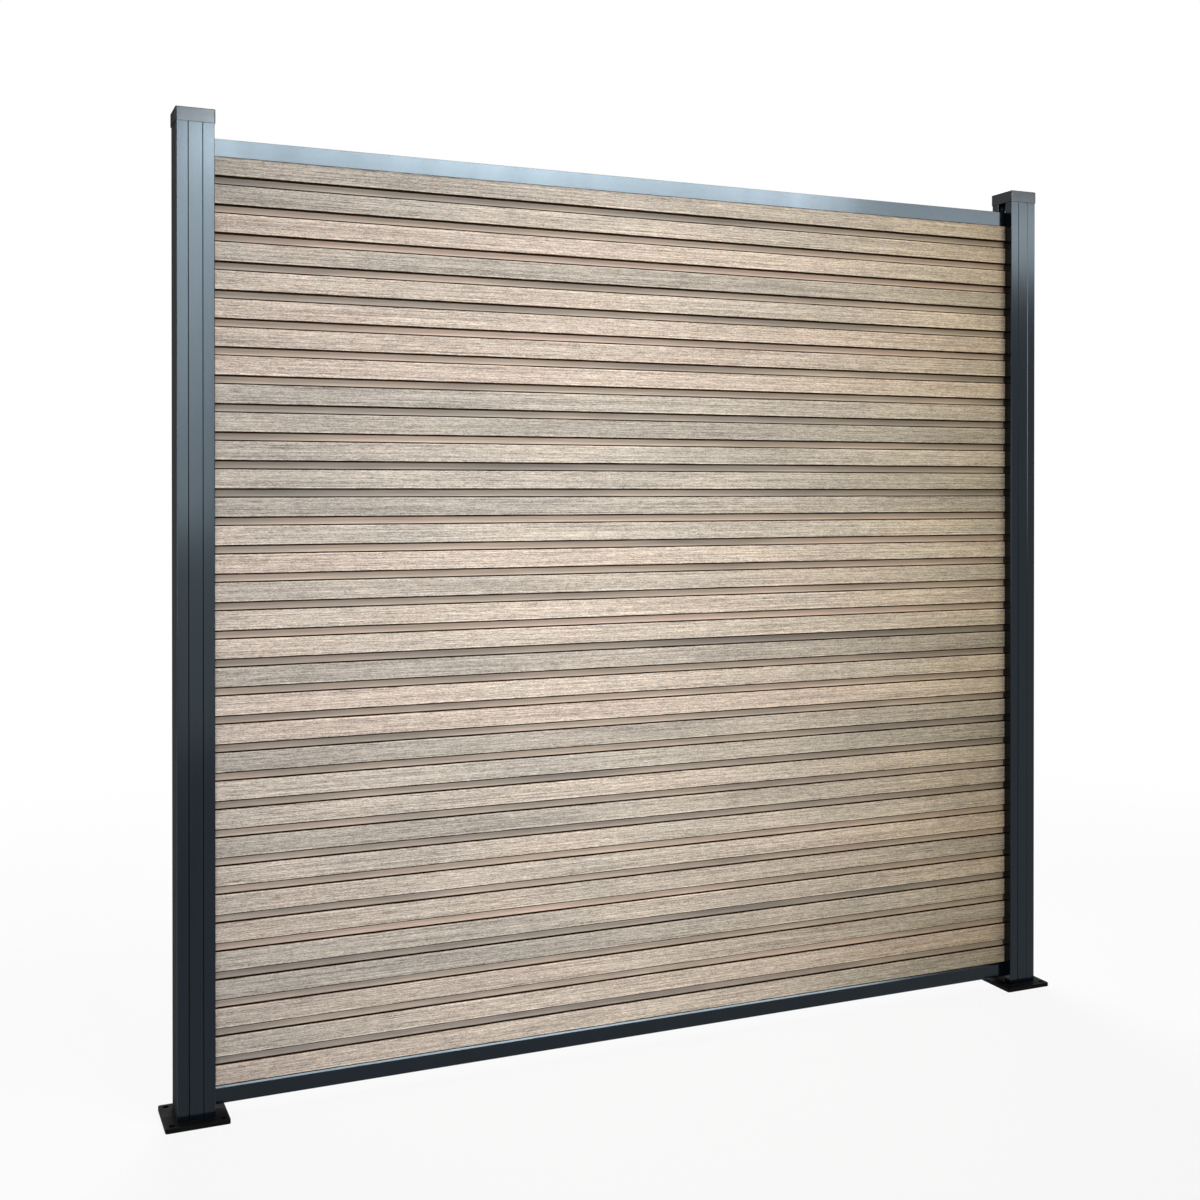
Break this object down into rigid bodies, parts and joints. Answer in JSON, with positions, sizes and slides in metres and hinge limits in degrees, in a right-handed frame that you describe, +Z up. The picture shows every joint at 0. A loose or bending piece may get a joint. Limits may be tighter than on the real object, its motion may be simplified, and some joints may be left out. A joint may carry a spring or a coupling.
{
  "type": "garden privacy screen",
  "caption": "Free-standing garden privacy screen: slotted dark posts on bolt-down plates, with ribbed wood-look boards stacked between a top and a bottom rail.",
  "frame": {"origin": "on the ground, midway between the posts, in the panel's middle plane", "axes": "+X along the panel from the left post to the right post, seen from the front; +Y from the front to the back; +Z up"},
  "size_m": [1.894, 0.11, 1.7625],
  "materials": {
    "powder_coat": "anthracite satin powder coat on aluminium",
    "cap_plastic": "anthracite moulded plastic, fine satin",
    "black_steel": "black coated steel plate",
    "zinc_steel": "galvanised steel",
    "screw_steel": "bright zinc-plated steel",
    "packer_plastic": "black polyamide",
    "wood_composite": "brushed wood-plastic composite, greige with beige, pink and grey streaks"
  },
  "bodies": {
    "root": {"left_post": "powder_coat", "right_post": "powder_coat", "top_rail": "powder_coat", "bottom_rail": "powder_coat", "left_front_slot_cover": "powder_coat", "left_rear_slot_cover": "powder_coat", "left_outer_slot_cover": "powder_coat", "right_front_slot_cover": "powder_coat", "right_rear_slot_cover": "powder_coat", "right_outer_slot_cover": "powder_coat", "left_post_cap": "cap_plastic", "right_post_cap": "cap_plastic", "left_base_plate": "black_steel", "right_base_plate": "black_steel", "left_base_spigot": "zinc_steel", "right_base_spigot": "zinc_steel", "left_top_rail_clip": "zinc_steel", "right_top_rail_clip": "zinc_steel", "spigot_screws": "screw_steel", "top_rail_clip_screws": "screw_steel", "left_rail_support_block": "packer_plastic", "right_rail_support_block": "packer_plastic", "board_01": "wood_composite", "board_02": "wood_composite", "board_03": "wood_composite", "board_04": "wood_composite", "board_05": "wood_composite", "board_06": "wood_composite", "board_07": "wood_composite", "board_08": "wood_composite", "board_09": "wood_composite", "board_10": "wood_composite", "board_11": "wood_composite"}
  },
  "joints": []
}
